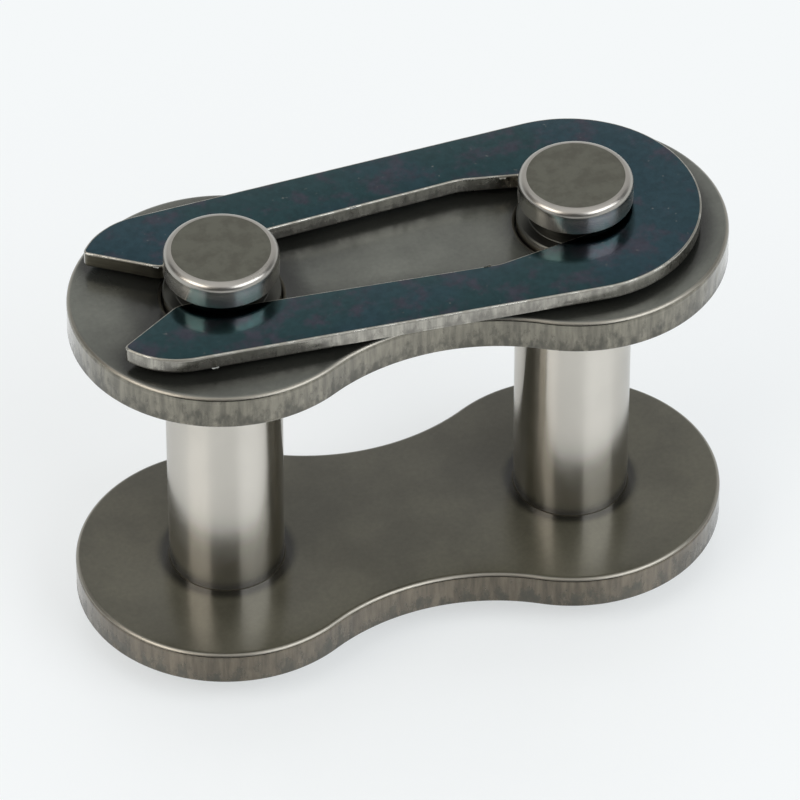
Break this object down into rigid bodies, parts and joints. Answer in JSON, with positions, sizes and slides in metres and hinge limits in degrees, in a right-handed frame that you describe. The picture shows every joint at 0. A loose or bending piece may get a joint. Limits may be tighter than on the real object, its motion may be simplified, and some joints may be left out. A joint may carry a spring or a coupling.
{
  "type": "roller chain connecting link",
  "caption": "Spring-clip connecting link for a roller chain: grooved pins riveted into a waisted plate, a slip-fit loose plate and a sliding clip.",
  "frame": {"origin": "midway between the pins, on the surface that the riveted pin ends stand on", "axes": "+X along the link from the pin at the clip's open end to the pin at its closed end, +Z along the pins from the fixed plate to the clip, +Y across the link"},
  "size_m": [0.0292, 0.0132, 0.0207],
  "materials": {
    "plate_steel": "heat-treated and tumbled strip, satin, warm grey, with sheared edges",
    "pin_steel": "turned, hardened and polished",
    "blued_spring_steel": "blued and glossy on its flat faces, bare grey on its blanked edges"
  },
  "bodies": {
    "pinned_plate": {"fixed_plate": "plate_steel", "pin_left": "pin_steel", "pin_right": "pin_steel"},
    "loose_plate": {"loose_plate": "plate_steel"},
    "spring_clip": {"spring_clip": "blued_spring_steel"}
  },
  "joints": [
    {"name": "loose_plate_slide", "type": "slide", "parent": "pinned_plate", "child": "loose_plate", "axis": [0, 0, 1], "range_m": [-0.0134, 0.0004]},
    {"name": "spring_clip_slide", "type": "slide", "parent": "pinned_plate", "child": "spring_clip", "axis": [1, 0, 0], "range_m": [0, 0.028], "deforming": ["spring_clip"]}
  ]
}
